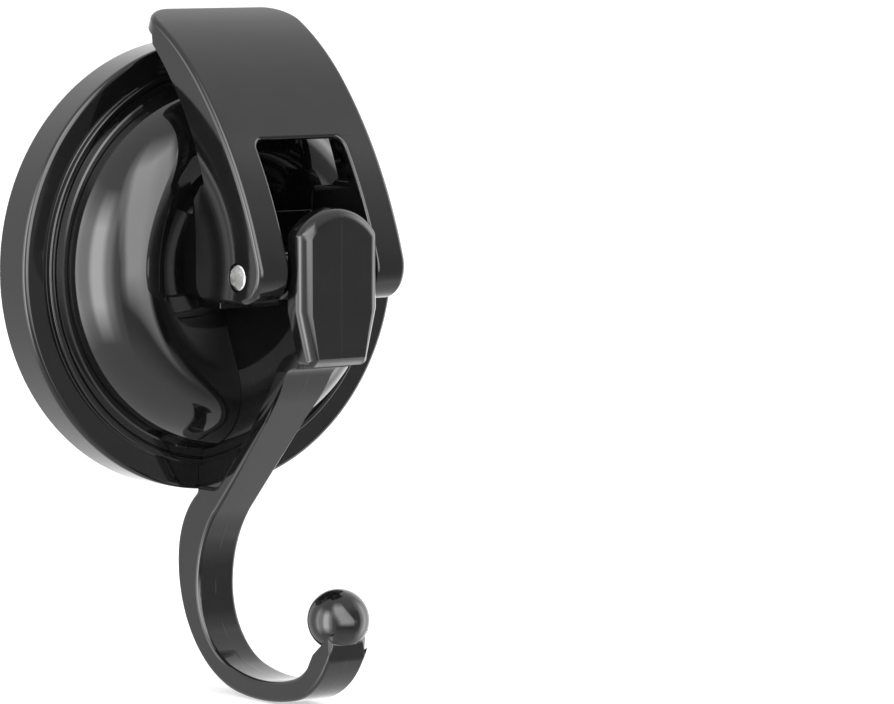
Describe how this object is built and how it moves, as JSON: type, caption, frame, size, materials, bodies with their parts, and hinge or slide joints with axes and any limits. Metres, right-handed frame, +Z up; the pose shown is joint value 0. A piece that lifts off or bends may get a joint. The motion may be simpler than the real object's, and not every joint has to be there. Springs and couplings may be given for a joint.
{
  "type": "suction_hook",
  "caption": "Glossy black suction wall hook with a cam lever on a steel pin, a round domed housing and a J hook with a ball tip.",
  "frame": {"origin": "centre of the suction cup on the wall", "axes": "+Z up, +Y into the wall, -Y out towards the room, +X to the right of a person facing the wall"},
  "size_m": [0.085, 0.0538, 0.1285],
  "materials": {
    "black_plastic": "moulded glossy black",
    "cup_rubber": "smooth soft",
    "pin_steel": "turned, bright"
  },
  "bodies": {
    "base": {"suction_cup": "cup_rubber", "cup_stem": "black_plastic", "pivot_pin": "pin_steel", "housing": "black_plastic", "hook": "black_plastic", "hook_screw_upper": "pin_steel", "hook_screw_lower": "pin_steel"},
    "lever": {"lever": "black_plastic"}
  },
  "joints": [
    {"name": "lever_hinge", "type": "hinge", "parent": "base", "child": "lever", "pos_m": [0, -0.0398, 0], "axis": [1, 0, 0], "range_deg": [0, 90]}
  ]
}
